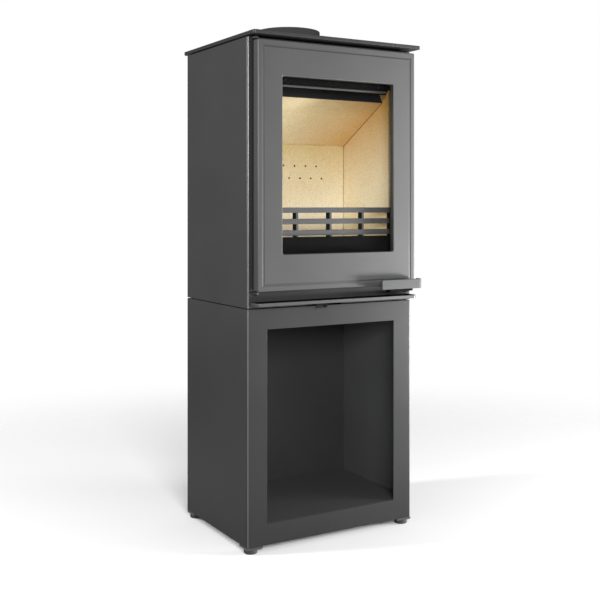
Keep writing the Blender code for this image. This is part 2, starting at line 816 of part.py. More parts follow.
def make_glazing():
    face = DOOR_PLATE - DOOR_FACE       # inner face of the door's plate
    glass_half = 158 * MM
    glass_low, glass_high = 609 * MM, 1013 * MM
    picture_frame(
        "glass_gasket", glass_half, glass_low, glass_high, 10 * MM,
        (face + GAP, face + 1.5 * MM), "seal_rope",
    )
    glass = (face + 1.8 * MM, face + 5.8 * MM)
    box("door_glass", (-glass_half, glass_half), glass, (glass_low, glass_high), "ceramic_glass")
    clamp = (glass[1] + GAP, glass[1] + 1.9 * MM)
    leg = (face + GAP, clamp[1])
    outer = glass_half + 13 * MM
    for side, sign in (("left", -1), ("right", 1)):
        strip = sorted((sign * (glass_half - 8 * MM), sign * outer))
        foot = sorted((sign * (glass_half + 0.5 * MM), sign * outer))
        span = (glass_low + 14 * MM, glass_high - 14 * MM)
        tongue = box(f"glass_clamp_{side}", strip, clamp, span, "galvanised")
        join(tongue, box(f"clamp_foot_{side}", foot, leg, span))
    seal_half = DOOR_HALF_WIDTH - RIM - GAP
    picture_frame(
        "door_seal", seal_half, DOOR_LOW + RIM + GAP, DOOR_HIGH - RIM - GAP, 8 * MM,
        (face + GAP, -5.3 * MM), "seal_rope",
    )


def lug_outline():
    reach = HINGE_REACH
    radius = 6 * MM
    nose = arc((HINGE_X, -reach), radius, 180, 360, 8)
    return [(HINGE_X - radius, -GAP)] + nose + [(HINGE_X + radius, -GAP)]


def make_hinges():
    bore = HINGE_PIN + PIN_CLEAR
    rim = 5.5 * MM              # radius of the washers
    for end, lug, washer, shank, head in (
        ("bottom", (543.4, 547.2), (547.5, 548.7), (542.5, 555), (541.6, 543.1)),
        ("top", (1072.8, 1076.6), (1071.3, 1072.5), (1065, 1077.5), (1076.9, 1078.4)),
    ):
        plate = flat_plate(
            f"hinge_lug_{end}", lug_outline(), (lug[0] * MM, lug[1] * MM), False, "stove_paint"
        )
        hole = cylinder(
            f"lug_hole_{end}", HINGE_X, -HINGE_REACH,
            (lug[0] * MM - 0.01, lug[1] * MM + 0.01), bore,
        )
        cut(plate, hole)
        turned(
            f"hinge_washer_{end}",
            [
                (bore, washer[1] * MM),
                (rim, washer[1] * MM),
                (rim, washer[0] * MM),
                (bore, washer[0] * MM),
            ],
            HINGE_X, -HINGE_REACH, "black_steel", sides=24,
        )
        pin = cylinder(
            f"hinge_pin_{end}", HINGE_X, -HINGE_REACH, (shank[0] * MM, shank[1] * MM),
            HINGE_PIN, "black_steel",
        )
        pin_head = cylinder(
            f"pin_head_{end}", HINGE_X, -HINGE_REACH, (head[0] * MM, head[1] * MM), 4.5 * MM
        )
        join(pin, pin_head)


# ---------------------------------------------------------------- handle and latch
def make_handle():
    thickness = 5 * MM
    face = -GRIP_FACE
    bend = 9 * MM
    tail = 20 * MM
    inner = bend - thickness
    corner = (GRIP_RIGHT - bend, face + bend)
    grip = [(GRIP_LEFT, face)]
    grip += arc(corner, bend, 270, 360, 6)
    grip += [(GRIP_RIGHT, face + tail), (GRIP_RIGHT - thickness, face + tail)]
    grip += arc(corner, inner, 360, 270, 6)
    grip += [(GRIP_LEFT, face + thickness)]
    flat_plate("handle_grip", grip, (GRIP_LOW, GRIP_HIGH), False, "handle_paint")

    pivot = (PIVOT_X, -PIVOT_REACH)
    hub = 11 * MM
    arm_left = GRIP_LEFT + 21 * MM
    front = face + 0.8 * MM
    rear = front + 14 * MM
    lever = [(arm_left, front), (PIVOT_X - 34 * MM, front + 3 * MM)]
    lever += [(PIVOT_X + hub, -34 * MM)]
    lever += [(PIVOT_X + hub, pivot[1]), (PIVOT_X + 4 * MM, -9 * MM)]
    lever += [(PIVOT_X + 4 * MM, 5.8 * MM), (PIVOT_X + 10 * MM, 5.8 * MM)]
    lever += [(PIVOT_X + 9 * MM, 10 * MM), (PIVOT_X - 5 * MM, 10 * MM)]
    lever += [(PIVOT_X - 5 * MM, -9 * MM), (PIVOT_X - hub, pivot[1])]
    lever += [(PIVOT_X - hub, -30 * MM), (PIVOT_X - 34 * MM, rear + 2 * MM)]
    lever += [(arm_left, rear)]
    plate = flat_plate("handle_lever", lever, (536.5 * MM, 542.9 * MM), False, "black_steel")
    cut(
        plate,
        cylinder(
            "lever_hole", pivot[0], pivot[1], (530 * MM, 550 * MM), 4 * MM + PIN_CLEAR
        ),
    )
    turned(
        "handle_spacer",
        [
            (4 * MM + PIN_CLEAR, 548.7 * MM),
            (8 * MM, 548.7 * MM),
            (8 * MM, 543.2 * MM),
            (4 * MM + PIN_CLEAR, 543.2 * MM),
        ],
        pivot[0], pivot[1], "galvanised", sides=24,
    )
    pin = cylinder(
        "handle_pivot_pin", pivot[0], pivot[1], (535 * MM, 555 * MM), 4 * MM, "black_steel"
    )
    join(
        pin, cylinder("pivot_head", pivot[0], pivot[1], (532.2 * MM, 536.2 * MM), 7 * MM)
    )
    box(
        "latch_keeper", (182 * MM, 202 * MM), (FRONT_INSIDE, FRONT_INSIDE + 2.4 * MM),
        (522 * MM, 536.1 * MM), "black_steel",
    )


def make_joint_axes():
    """Empties on the three axes of motion; the moving pieces hang from them."""
    door = bpy.data.objects.new("door_axis", None)
    door.location = (HINGE_X, at_depth(-HINGE_REACH), DOOR_LOW)
    handle = bpy.data.objects.new("handle_axis", None)
    handle.location = (PIVOT_X, at_depth(-PIVOT_REACH), DOOR_LOW)
    slide = bpy.data.objects.new("air_slide_axis", None)
    slide.location = (-38 * MM, at_depth(-15 * MM), 512 * MM)
    for empty in (door, handle, slide):
        parts.objects.link(empty)
    members = {
        door: [
            "door_frame", "glass_gasket", "door_glass", "glass_clamp_left", "glass_clamp_right",
            "door_seal", "handle_pivot_pin", "handle_spacer",
        ],
        handle: ["handle_grip", "handle_lever"],
        slide: ["air_slide", "air_slide_knob"],
    }
    bpy.context.view_layer.update()
    for empty, names in members.items():
        for name in names:
            piece = bpy.data.objects[name]
            piece.parent = empty
            piece.matrix_parent_inverse = empty.matrix_world.inverted()


make_lower_cabinet()
make_feet()
make_upper_cabinet()
make_top()
make_ash_lip()
make_firebox_shell()
make_door_neck()
make_mouth_fittings()
make_log_fence()
make_lining()
make_baffle()
make_ash_gear()
make_air_slide()
make_door_frame()
make_glazing()
make_hinges()
make_handle()
make_joint_axes()
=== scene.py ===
"""Looks of the wood burning stove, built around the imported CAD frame.

The frame's nodes keep their shape and get finished edges and procedural materials.  Four
need a finer surface than the frame holds, so a piece built here stands for each: the door's
casting, the airwash sheet, the flue collar and the rope seal.  The screws are added.

Some of the photograph's shading is held in the base colours, where faces of one sheet have
different tones and where a colour changes along an axis.  It doesn't follow the lights.
"""

import math

import bmesh
import bpy
from mathutils import Matrix, Vector


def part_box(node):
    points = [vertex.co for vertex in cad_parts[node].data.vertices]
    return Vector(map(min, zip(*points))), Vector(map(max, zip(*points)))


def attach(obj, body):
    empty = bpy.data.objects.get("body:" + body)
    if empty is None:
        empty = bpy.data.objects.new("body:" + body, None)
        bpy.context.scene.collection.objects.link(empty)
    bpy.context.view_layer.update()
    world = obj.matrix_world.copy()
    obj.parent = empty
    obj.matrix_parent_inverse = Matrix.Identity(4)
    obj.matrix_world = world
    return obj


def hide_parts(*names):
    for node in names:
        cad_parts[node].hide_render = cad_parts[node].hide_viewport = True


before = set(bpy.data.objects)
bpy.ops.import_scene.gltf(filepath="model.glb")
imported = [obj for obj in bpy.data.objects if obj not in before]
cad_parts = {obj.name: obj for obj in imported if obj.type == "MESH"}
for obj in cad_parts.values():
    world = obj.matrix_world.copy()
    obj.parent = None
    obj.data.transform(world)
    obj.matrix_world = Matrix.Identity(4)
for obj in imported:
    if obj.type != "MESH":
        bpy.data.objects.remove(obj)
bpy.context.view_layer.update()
scene = bpy.context.scene
MM = 0.001


# ---------------------------------------------------------------- places in the frame
def lowest(node):
    """The left, front and bottom of a node's box."""
    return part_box(node)[0]


def highest(node):
    """The right, rear and top of a node's box."""
    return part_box(node)[1]


def middle(node):
    low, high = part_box(node)
    return (low + high) / 2


FRONT = lowest("upper_casing").y        # the front sheet's outer face
DOOR_FRONT = lowest("door_frame").y
DOOR_BACK = highest("door_frame").y
WINDOW_HALF_WIDTH = 141.7 * MM          # the door's window, as it is cut in the frame
WINDOW_LOW = 625.4 * MM
WINDOW_HIGH = 997 * MM


# ---------------------------------------------------------------- material helpers
class Nodes:
    """A material's node tree, with short ways to add and link nodes."""

    def __init__(self, name):
        self.material = bpy.data.materials.new(name)
        self.material.use_nodes = True
        self.tree = self.material.node_tree
        self.shader = self.tree.nodes["Principled BSDF"]
        self.place = self.add("ShaderNodeTexCoord").outputs["Object"]

    def add(self, kind, **inputs):
        node = self.tree.nodes.new(kind)
        for key, value in inputs.items():
            node.inputs[key.replace("_", " ")].default_value = value
        return node

    def link(self, source, target):
        self.tree.links.new(source, target)

    def stretched(self, factors):
        mapping = self.add("ShaderNodeMapping")
        mapping.inputs["Scale"].default_value = factors
        self.link(self.place, mapping.inputs["Vector"])
        return mapping.outputs["Vector"]

    def noise(self, scale, detail, roughness=0.55, vector=None):
        node = self.add("ShaderNodeTexNoise", Scale=scale, Detail=detail, Roughness=roughness)
        self.link(vector or self.place, node.inputs["Vector"])
        return node.outputs["Fac"]

    def cells(self, scale, output="Distance"):
        node = self.add("ShaderNodeTexVoronoi", Scale=scale)
        self.link(self.place, node.inputs["Vector"])
        return node.outputs[output]

    def ramp(self, value, stops):
        """A colour ramp through (position, colour) stops."""
        node = self.tree.nodes.new("ShaderNodeValToRGB")
        elements = node.color_ramp.elements
        while len(elements) < len(stops):
            elements.new(0.5)
        for element, (position, colour) in zip(elements, stops):
            element.position = position
            element.color = (*colour, 1)
        self.link(value, node.inputs["Fac"])
        return node.outputs["Color"]

    def spread(self, value, low, high):
        """A 0 to 1 value made to run from low to high."""
        node = self.add("ShaderNodeMapRange", To_Min=low, To_Max=high)
        self.link(value, node.inputs["Value"])
        return node.outputs["Result"]

    def along(self, axis, start, end):
        """0 to 1 between two places on an axis, in metres."""
        parts = self.add("ShaderNodeSeparateXYZ")
        self.link(self.place, parts.inputs["Vector"])
        node = self.add("ShaderNodeMapRange", From_Min=start, From_Max=end)
        self.link(parts.outputs[axis], node.inputs["Value"])
        return node.outputs["Result"]

    def darkened(self, colour, by, amount=1.0):
        """One colour multiplied by another, by some amount of its effect."""
        node = self.tree.nodes.new("ShaderNodeMix")
        node.data_type = "RGBA"
        node.blend_type = "MULTIPLY"
        factor, first, second = (
            next(s for s in node.inputs if s.name == name and s.enabled)
            for name in ("Factor", "A", "B")
        )
        factor.default_value = amount
        self.link(colour, first)
        self.link(by, second)
        return next(s for s in node.outputs if s.enabled)

    def bump(self, height, distance, strength=1.0, onto=None):
        node = self.add("ShaderNodeBump", Strength=strength, Distance=distance)
        self.link(height, node.inputs["Height"])
        if onto is not None:
            self.link(onto, node.inputs["Normal"])
        return node.outputs["Normal"]

    def finish(self, colour, roughness, normal=None, **constants):
        """Links the shader's inputs, sets its constants and hands over the material."""
        self.link(colour, self.shader.inputs["Base Color"])
        self.link(roughness, self.shader.inputs["Roughness"])
        if normal is not None:
            self.link(normal, self.shader.inputs["Normal"])
        for key, value in constants.items():
            self.shader.inputs[key.replace("_", " ")].default_value = value
        return self.material


def grey(value, warmth=0.0):
    """A neutral colour, or one pulled towards red, or towards blue below zero."""
    return (value * (1 + warmth), value, value * (1 - warmth))


# ---------------------------------------------------------------- materials
def paint(name, tone, rough, shine, grain=0.06, low_tone=1.0):
    """Matt heat-resistant paint: a fine dry grain over slow changes of tone.

    grain is the depth of its skin in mm.  low_tone is its share of tone at the floor, which
    is painted shading and not a property of the paint.
    """
    nodes = Nodes(name)
    cool = 0.012        # its slight pull towards blue
    fade_top = 0.5      # height where the fade to low_tone starts, in metres
    slow = nodes.noise(5.0, 2.0)
    speck = nodes.noise(1500.0, 2.0, 0.6)
    ground = nodes.ramp(slow, [(0.3, grey(tone * 0.94, -cool)), (0.7, grey(tone * 1.06, -cool))])
    flecks = nodes.ramp(speck, [(0.35, grey(0.80)), (0.65, grey(1.20))])
    colour = nodes.darkened(ground, flecks, 0.35)
    if low_tone < 1:
        upward = nodes.along("Z", 0.0, fade_top)
        colour = nodes.darkened(
            colour, nodes.ramp(upward, [(0.0, grey(low_tone)), (1.0, grey(1.0))])
        )
    roughness = nodes.spread(slow, rough - 0.04, rough + 0.05)
    normal = nodes.bump(speck, grain * MM)
    return nodes.finish(colour, roughness, normal, Metallic=0.0, Specular_IOR_Level=shine)


def cast(name, tone, rough, shine):
    """Painted cast iron: a coarser skin than sheet, with shallow pits."""
    nodes = Nodes(name)
    slow = nodes.noise(9.0, 3.0)
    skin = nodes.noise(650.0, 4.0, 0.65)
    pits = nodes.cells(420.0)
    colour = nodes.ramp(skin, [(0.3, grey(tone * 0.85)), (0.7, grey(tone * 1.12))])
    roughness = nodes.spread(slow, rough - 0.05, rough + 0.08)
    normal = nodes.bump(pits, 0.05 * MM, 0.6, nodes.bump(skin, 0.12 * MM))
    return nodes.finish(colour, roughness, normal, Metallic=0.0, Specular_IOR_Level=shine)


def vermiculite(name, *shades):
    """Pressed vermiculite board: buff with small flecks, with painted shade in its joints and inner
    corners.

    Each shade is an axis, a start, an end and the colours between them.  Shades are painted shading,
    set to the photograph's, and not a property of the board.
    """
    nodes = Nodes(name)
    slow = nodes.noise(7.0, 4.0, 0.6)
    fleck = nodes.cells(500.0, output="Color")
    grain = nodes.noise(430.0, 3.0, 0.75)
    ground = nodes.ramp(
        slow, [(0.25, (0.91, 0.82, 0.56)), (0.55, (0.96, 0.89, 0.67)), (0.8, (0.99, 0.94, 0.76))]
    )
    mica = nodes.ramp(fleck, [(0.12, (0.84, 0.74, 0.58)), (0.42, grey(1.00)), (0.95, grey(1.04))])
    grained = nodes.darkened(ground, mica, 0.8)
    dust = nodes.ramp(grain, [(0.33, grey(0.89, 0.02)), (0.67, grey(1.05))])
    toned = nodes.darkened(grained, dust, 0.8)
    for axis, start, end, stops in shades:
        shade = nodes.ramp(nodes.along(axis, start, end), stops)
        toned = nodes.darkened(toned, shade)
    # Ambient occlusion darkens the joints and inner corners to brown: painted shade.
    closed = nodes.add("ShaderNodeAmbientOcclusion", Distance=5 * MM)
    joint = nodes.ramp(closed.outputs["AO"], [(0.45, (0.45, 0.30, 0.16)), (0.80, (1, 1, 1))])
    colour = nodes.darkened(toned, joint)
    roughness = nodes.spread(grain, 0.86, 0.98)
    normal = nodes.bump(grain, 0.2 * MM, 0.7, nodes.bump(nodes.cells(500.0), 0.15 * MM, 0.5))
    return nodes.finish(colour, roughness, normal, Specular_IOR_Level=0.25)


def zinc(name):
    """Bright zinc plate: fine streaks and a slight mottle."""
    nodes = Nodes(name)
    streaks = nodes.noise(600.0, 2.0, 0.6, nodes.stretched((1.0, 1.0, 0.08)))
    mottle = nodes.cells(140.0, output="Color")
    bright = nodes.ramp(streaks, [(0.2, grey(0.42)), (0.8, grey(0.58))])
    patches = nodes.ramp(mottle, [(0.0, grey(0.92)), (1.0, grey(1.05))])
    colour = nodes.darkened(bright, patches, 0.5)
    roughness = nodes.spread(streaks, 0.32, 0.48)
    return nodes.finish(colour, roughness, nodes.bump(streaks, 0.02 * MM), Metallic=0.95)


def rope(name):
    """Braided glass-fibre rope: crossed strands on a dark ground."""
    nodes = Nodes(name)
    braid = nodes.cells(620.0)
    fuzz = nodes.noise(2500.0, 2.0)
    colour = nodes.ramp(braid, [(0.0, grey(0.11, 0.02)), (0.6, grey(0.045, 0.02))])
    roughness = nodes.spread(fuzz, 0.85, 1.0)
    return nodes.finish(colour, roughness, nodes.bump(braid, -0.4 * MM, 0.8))


def rubber(name):
    """Black rubber with a dull, slightly uneven skin."""
    nodes = Nodes(name)
    speck = nodes.noise(1200.0, 2.0)
    colour = nodes.ramp(speck, [(0.3, grey(0.008)), (0.7, grey(0.013))])
    return nodes.finish(colour, nodes.spread(speck, 0.62, 0.78), nodes.bump(speck, 0.05 * MM))


def ceramic_glass(name):
    """Clear glass-ceramic: a faint gloss over what is behind it."""
    nodes = Nodes(name)
    haze = nodes.noise(14.0, 3.0)
    return nodes.finish(
        nodes.ramp(haze, [(0.3, grey(0.010)), (0.7, grey(0.014))]),
        nodes.spread(haze, 0.03, 0.06), Alpha=0.05, IOR=1.52,
    )


# The real stove has one graphite paint.  The graphite, log store and sill tones differ only to
# match the shading in the photograph under the lights below.
STOVE_PAINT = paint("graphite_paint", 0.023, 0.36, shine=0.42)
# Darker than the upper sheet, on the lower cabinet's front and the top plate, and on the cabinet
# darker still towards the floor: painted shade.
BASE_PAINT = paint("graphite_base_paint", 0.0195, 0.36, shine=0.23, low_tone=0.52)
# The lower cabinet's outer sides, darker towards the floor down to a twentieth of their tone: painted
# shade.
BASE_SIDE_SHADE_PAINT = paint("graphite_base_side_shade_paint", 0.031, 0.42, shine=0.16, low_tone=0.05)
# Much lighter on the cabinets' front folds, and halved towards the floor: a painted highlight.
FOLD_HIGHLIGHT_PAINT = paint("graphite_fold_highlight_paint", 0.085, 0.32, shine=0.6, grain=0.015, low_tone=0.5)
SHADE_PAINT = paint("graphite_shade_paint", 0.016, 0.42, shine=0.20)
# The log store's floor, deck and inner walls are lighter than the sheet's paint: painted light.
STORE_LIT_PAINT = paint("log_store_lit_paint", 0.048, 0.50, shine=0.22)
STORE_WALL_LIT_PAINT = paint("log_store_wall_lit_paint", 0.062, 0.50, shine=0.25)
STORE_BACK_PAINT = paint("log_store_back_paint", 0.021, 0.46, shine=0.22)
DOOR_PAINT = paint("graphite_door_paint", 0.029, 0.39, shine=0.52, grain=0.04)
# Darker inside the door's groove: painted shade.
GROOVE_SHADE_PAINT = paint("graphite_groove_shade_paint", 0.020, 0.42, shine=0.40, grain=0.04)
HANDLE_PAINT = paint("satin_handle_paint", 0.046, 0.44, shine=0.28, grain=0.03)
INNER_PAINT = paint("inner_black_paint", 0.011, 0.60, shine=0.10)
# Near black on the sill plate, the ash lip's top, the handle's lever and the airwash sheet: painted
# shade.
BLACK_SHADE_PAINT = paint("black_shade_paint", 0.0025, 0.65, shine=0.02)
BLACK_STEEL = paint("black_oxide", 0.005, 0.50, shine=0.06, grain=0.03)
CAST_GREY = cast("cast_iron_grey", 0.053, 0.55, shine=0.25)
# Lighter grey on the airwash sheet's rolled hem: a painted highlight.
HEM_HIGHLIGHT_PAINT = paint("airwash_hem_highlight_paint", 0.034, 0.35, shine=0.40, grain=0.03)
CAST_DARK = cast("cast_iron_dark", 0.04, 0.62, shine=0.30)
# Near black on every face of the log fence but its front: painted shade.
CAST_SHADE_BLACK = cast("cast_iron_shade_black", 0.006, 0.75, shine=0.10)
COLLAR_PAINT = cast("collar_cast_paint", 0.037, 0.70, shine=0.0)
# Painted shade: the back and side boards darker and browner upward, the baffle darker at its left,
# its front and its right, and browner to the right.
BACK_BOARD = vermiculite(
    "vermiculite_back",
    ("Z", 0.68, 0.88, [(0.0, (0.90, 0.89, 0.93)), (1.0, (0.50, 0.42, 0.255))]),
)
SIDE_BOARD = vermiculite(
    "vermiculite_side",
    ("Z", 0.74, 0.96, [(0.0, (1.04, 1.04, 1.04)), (1.0, (0.54, 0.36, 0.14))]),
)
BAFFLE_BOARD = vermiculite(
    "vermiculite_baffle",
    ("X", -0.16, 0.16, [(0.0, (0.50, 0.50, 0.48)), (0.35, (0.98, 0.96, 0.92)),
                        (1.0, (0.76, 0.54, 0.30))]),
    ("Y", -0.075, 0.06, [(0.0, (0.60, 0.56, 0.48)), (0.4, (0.88, 0.86, 0.80)),
                         (1.0, (1.0, 1.0, 1.0))]),
)
ZINC = zinc("zinc_plate")
ROPE = rope("fibre_rope")
RUBBER = rubber("foot_rubber")
GLASS = ceramic_glass("clear_ceramic_glass")


# ---------------------------------------------------------------- mesh helpers
def even_shading(piece):
    """Lets the large flat faces set the normals, so that only the narrow edges shade round."""
    even = piece.modifiers.new("even_shading", "WEIGHTED_NORMAL")
    even.weight = 100
    even.keep_sharp = True


def new_piece(name, bm, material, body, sharp=35):
    """Makes a piece of the mesh, smooth up to the sharp angle, that rides on a body."""
    bmesh.ops.recalc_face_normals(bm, faces=bm.faces)
    mesh = bpy.data.meshes.new(name)
    bm.to_mesh(mesh)
    bm.free()
    mesh.shade_smooth()
    mesh.set_sharp_from_angle(angle=math.radians(sharp))
    mesh.materials.append(material)
    piece = bpy.data.objects.new(name, mesh)
    scene.collection.objects.link(piece)
    even_shading(piece)
    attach(piece, body)
    return piece


def arc(centre, radius, start, end, steps):
    """Points along an arc between two angles in degrees."""
    points = []
    for step in range(steps + 1):
        angle = math.radians(start + (end - start) * step / steps)
        points.append((centre[0] + radius * math.cos(angle), centre[1] + radius * math.sin(angle)))
    return points


def rounded_rectangle(left, right, bottom, top, radius, steps=6):
    """An outline with steps along each rounded corner."""
    return (
        arc((right - radius, bottom + radius), radius, -90, 0, steps)
        + arc((right - radius, top - radius), radius, 0, 90, steps)
        + arc((left + radius, top - radius), radius, 90, 180, steps)
        + arc((left + radius, bottom + radius), radius, 180, 270, steps)
    )


def bridge(bm, rings, closed):
    """Faces between each ring of vertices and the next; closed joins the last to the first."""
    pairs = list(zip(rings, rings[1:]))
    if closed:
        pairs.append((rings[-1], rings[0]))
    for first, second in pairs:
        count = len(first)
        for index in range(count):
            following = (index + 1) % count
            bm.faces.new((first[index], first[following], second[following], second[index]))


def turned(name, profile, centre, material, body, sides):
    """A closed profile of (radius, z) points turned about an upright axis."""
    bm = bmesh.new()
    rings = []
    for step in range(sides):
        angle = 2 * math.pi * step / sides
        across, along = math.cos(angle), math.sin(angle)
        rings.append(
            [bm.verts.new((centre[0] + r * across, centre[1] + r * along, z)) for r, z in profile]
        )
    bridge(bm, rings, True)
    return new_piece(name, bm, material, body)


def rounded_corner(corner, before, after, radius, steps=3):
    """Points that round one corner of a profile."""
    corner, before, after = Vector(corner), Vector(before), Vector(after)
    back = (before - corner).normalized()
    on = (after - corner).normalized()
    half = back.angle(on) / 2
    reach = radius / math.tan(half)
    centre = corner + (back + on).normalized() * (radius / math.sin(half))
    start = corner + back * reach - centre
    end = corner + on * reach - centre
    turn = start.angle_signed(end)
    return [
        tuple(centre + Matrix.Rotation(-turn * step / steps, 2) @ start)
        for step in range(steps + 1)
    ]


def rounded_profile(points, radius):
    """A closed profile with all its corners rounded to one radius."""
    rounded = []
    for index, corner in enumerate(points):
        after = points[(index + 1) % len(points)]
        rounded += rounded_corner(corner, points[index - 1], after, radius)
    return rounded


def finish_edges(node, width):
    """Rounds a CAD node's edges with modifiers, which leave its own vertices alone."""
    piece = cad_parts[node]
    piece.data.shade_smooth()
    weld = piece.modifiers.new("weld", "WELD")
    weld.merge_threshold = 0.01 * MM
    flat = piece.modifiers.new("flat_faces", "DECIMATE")
    flat.decimate_type = "DISSOLVE"
    flat.angle_limit = math.radians(0.5)
    bevel = piece.modifiers.new("edges", "BEVEL")
    bevel.width = width
    bevel.segments = 2
    bevel.limit_method = "ANGLE"
    bevel.angle_limit = math.radians(30)
    bevel.harden_normals = True
    bevel.use_clamp_overlap = True
    even_shading(piece)


def clothe(material, *nodes, edge):
    """Gives CAD nodes one material and rounds their edges; no edge leaves them sharp."""
    for node in nodes:
        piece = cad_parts[node]
        piece.data.materials.clear()
        piece.data.materials.append(material)
        for face in piece.data.polygons:
            face.material_index = 0
        if edge:
            finish_edges(node, edge)


def reclothe(node, material, belongs):
    """Gives another material to the faces of a CAD node that the test picks out."""
    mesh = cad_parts[node].data
    mesh.materials.append(material)
    for face in mesh.polygons:
        if belongs(face):
            face.material_index = len(mesh.materials) - 1


def is_fold(face):
    """The rounded corners between a cabinet's front and its sides."""
    return 0.4 < abs(face.normal.x) < 0.8 and face.normal.y < -0.2


def looks_inward(face):
    """Faces turned from a side towards the middle."""
    return face.normal.x * face.center.x < -0.1


def looks_aside(face):
    """Faces turned away from the middle."""
    return face.normal.x * face.center.x > 0.1


def looks_forward(face):
    return face.normal.y < -0.99


def looks_elsewhere(face):
    """Every face but those turned to the front."""
    return face.normal.y > -0.5


def looks_up(face):
    return face.normal.z > 0.99


# ---------------------------------------------------------------- CAD nodes keep their shape
clothe(STOVE_PAINT, "upper_casing", edge=0.5 * MM)
clothe(BASE_PAINT, "lower_casing", edge=0.5 * MM)
reclothe("upper_casing", SHADE_PAINT, looks_forward)
# A painted highlight on the front folds.
reclothe("upper_casing", FOLD_HIGHLIGHT_PAINT, is_fold)
# Painted light on the inner walls.
reclothe("lower_casing", STORE_WALL_LIT_PAINT, looks_inward)
# Painted shade towards the floor on the outer sides.
reclothe("lower_casing", BASE_SIDE_SHADE_PAINT, looks_aside)
# A painted highlight on the front folds.
reclothe("lower_casing", FOLD_HIGHLIGHT_PAINT, is_fold)
clothe(STORE_LIT_PAINT, "log_store_floor", edge=0.3 * MM)
# Painted light on the log store's deck and floor.
clothe(STORE_WALL_LIT_PAINT, "lower_cabinet_deck", edge=0.3 * MM)
clothe(STORE_BACK_PAINT, "lower_back_panel", edge=0.3 * MM)
clothe(STOVE_PAINT, "rear_heat_shield", edge=0.3 * MM)
clothe(BASE_PAINT, "top_plate", edge=1 * MM)
clothe(DOOR_PAINT, "ash_lip", edge=1.2 * MM)
# The lip's top is near black: painted shade under the door.
reclothe("ash_lip", BLACK_SHADE_PAINT, looks_up)
clothe(SHADE_PAINT, "hinge_lug_bottom", "hinge_lug_top", edge=0.5 * MM)
clothe(STOVE_PAINT, "corner_plate_front_left", "corner_plate_front_right",
       "corner_plate_rear_left", "corner_plate_rear_right", edge=0.6 * MM)
clothe(INNER_PAINT, "upper_base_plate", "top_rail_left", "top_rail_right", "firebox_front_plate",
       "firebox_floor", "firebox_side_left", "firebox_side_right", "firebox_back",
       "firebox_roof", "door_neck", "ash_well", "rear_air_duct", "baffle_front_rail",
       edge=0.3 * MM)
# The sill plate is near black: painted shade.
clothe(BLACK_SHADE_PAINT, "sill_plate", edge=0.5 * MM)
clothe(CAST_GREY, "log_fence", edge=0.6 * MM)
reclothe("log_fence", CAST_SHADE_BLACK, looks_elsewhere)
clothe(CAST_DARK, "grate", edge=1 * MM)
clothe(SIDE_BOARD, "lining_left", "lining_right", "hearth_slab_left", "hearth_slab_right",
       edge=0.8 * MM)
clothe(BACK_BOARD, "lining_back", edge=0.8 * MM)
clothe(BAFFLE_BOARD, "baffle", edge=0.8 * MM)
clothe(ZINC, "ash_pan", "glass_clamp_left", "glass_clamp_right", "handle_spacer", edge=0.3 * MM)
clothe(BLACK_STEEL, "hinge_washer_bottom", "hinge_washer_top", "hinge_pin_bottom",
       "hinge_pin_top", "handle_pivot_pin", "latch_keeper", "air_slide_knob", edge=0.3 * MM)
clothe(HANDLE_PAINT, "handle_grip", edge=1 * MM)
# The handle's lever is near black: painted shade under the grip.
clothe(BLACK_SHADE_PAINT, "handle_lever", edge=0.5 * MM)
clothe(BLACK_STEEL, "air_slide", edge=0.5 * MM)
clothe(ROPE, "glass_gasket", edge=0)
clothe(GLASS, "door_glass", edge=0)
clothe(RUBBER, "foot_pad_front_left", "foot_pad_front_right", "foot_pad_rear_left",
       "foot_pad_rear_right", edge=0.6 * MM)


